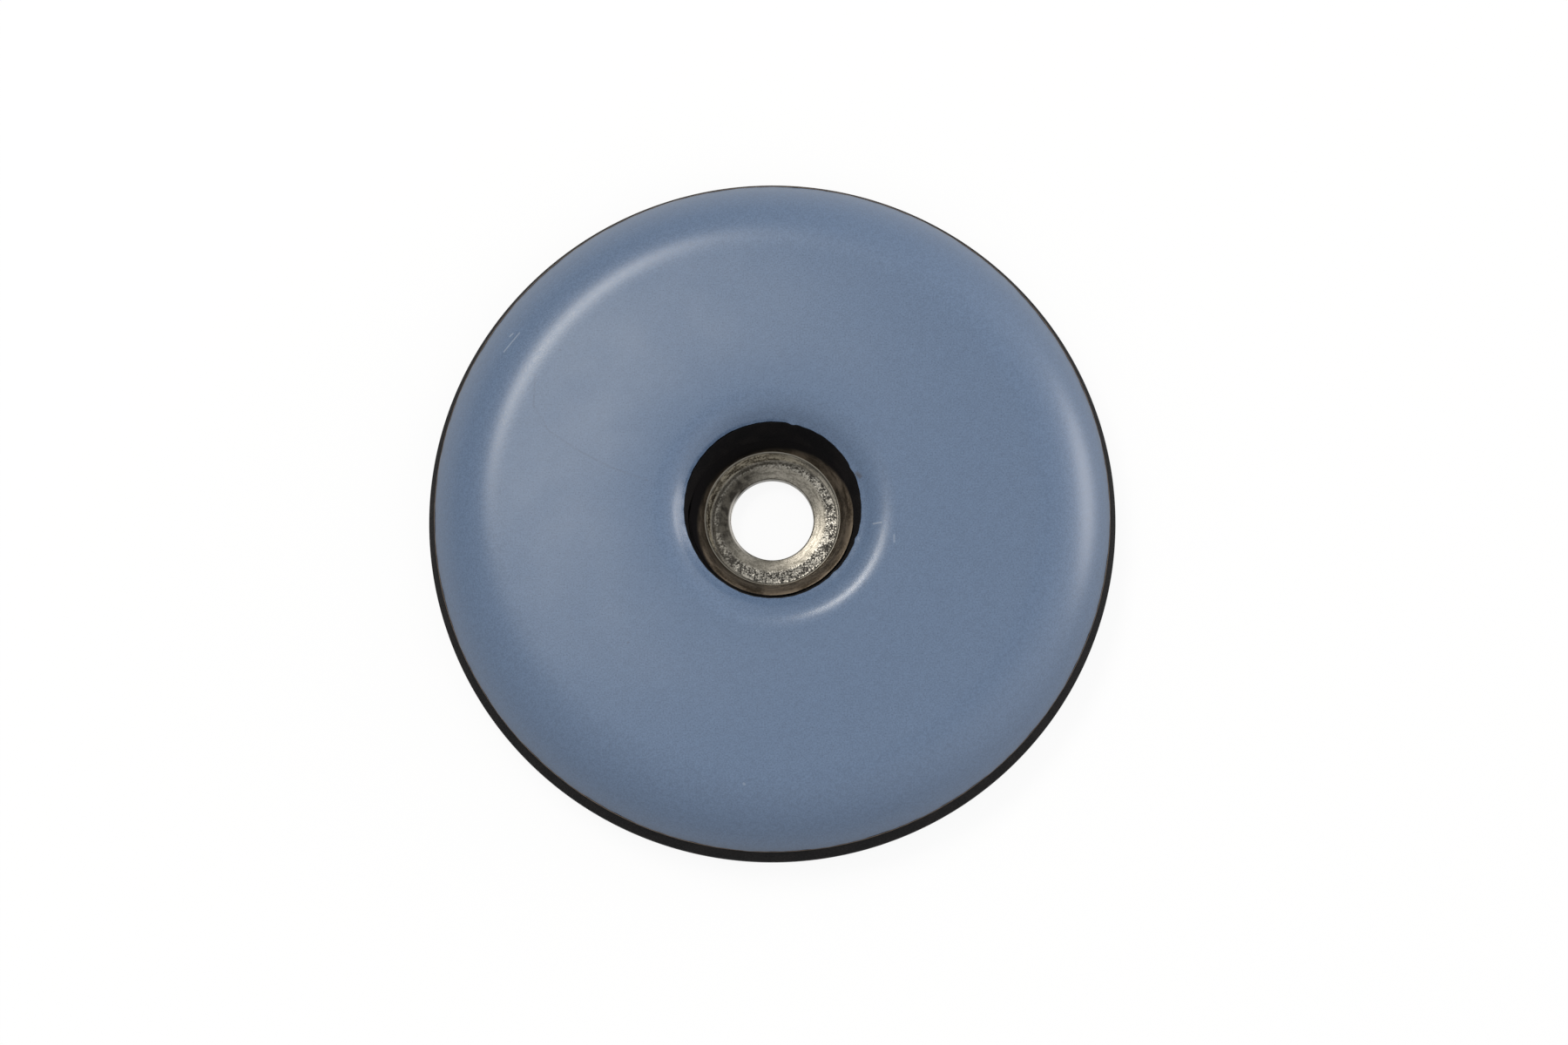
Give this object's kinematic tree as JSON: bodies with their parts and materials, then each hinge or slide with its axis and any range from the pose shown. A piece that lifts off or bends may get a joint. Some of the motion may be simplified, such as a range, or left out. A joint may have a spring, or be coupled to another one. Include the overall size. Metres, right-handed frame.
{
  "type": "screw-on furniture glide",
  "caption": "Round screw-on furniture glide: a low-friction plastic skin bonded over a rubber base, with a dished screw recess and a pressed steel seat.",
  "frame": {"origin": "centre of the mounting face, on the screw axis", "axes": "+Z along the screw axis, from the mounting face towards the sliding face; X and Y lie in the mounting face"},
  "size_m": [0.04, 0.04, 0.005],
  "materials": {
    "sliding_plastic": "satin blue-grey PTFE, finely grained, with light handling marks",
    "black_rubber": "matt black moulded rubber",
    "zinc_plated_steel": "pressed steel with a dull, warm grey zinc plating"
  },
  "bodies": {
    "root": {"sliding_skin": "sliding_plastic", "rubber_base": "black_rubber", "screw_seat": "zinc_plated_steel"}
  },
  "joints": []
}
